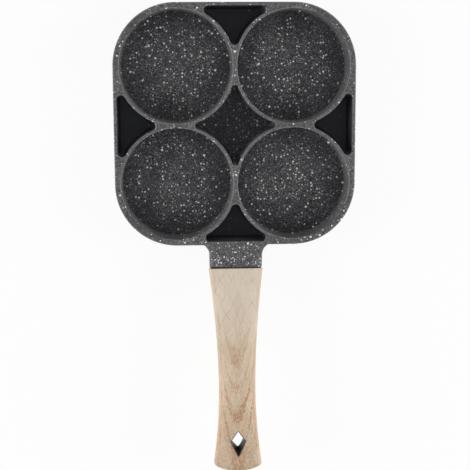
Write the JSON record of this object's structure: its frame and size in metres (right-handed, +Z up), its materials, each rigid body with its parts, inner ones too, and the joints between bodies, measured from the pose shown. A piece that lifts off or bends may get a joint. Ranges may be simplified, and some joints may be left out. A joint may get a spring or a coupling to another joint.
{
  "type": "egg pan",
  "caption": "Square cast frying pan with round cups side by side for eggs, pockets between them, and a waisted wooden grip with a diamond hanging hole.",
  "frame": {"origin": "middle of the pan's base, on the surface that it stands on", "axes": "+Z up out of the cups, -Y along the handle away from the pan, +X to the right with the handle towards the user"},
  "size_m": [0.19, 0.372, 0.047],
  "materials": {
    "stone_coat": "matte",
    "plate_steel": "satin",
    "gasket_rubber": "matte",
    "grip_wood": "satin",
    "liner_plastic": "satin",
    "screw_steel": "satin"
  },
  "bodies": {
    "root": {"pan_casting": "stone_coat", "induction_plate": "plate_steel", "heat_gasket": "gasket_rubber", "grip": "grip_wood", "hang_hole_liner": "liner_plastic", "handle_screw_front": "screw_steel", "handle_screw_rear": "screw_steel", "lock_washer_front": "screw_steel", "lock_washer_rear": "screw_steel", "flat_washer_front": "screw_steel", "flat_washer_rear": "screw_steel"}
  },
  "joints": []
}
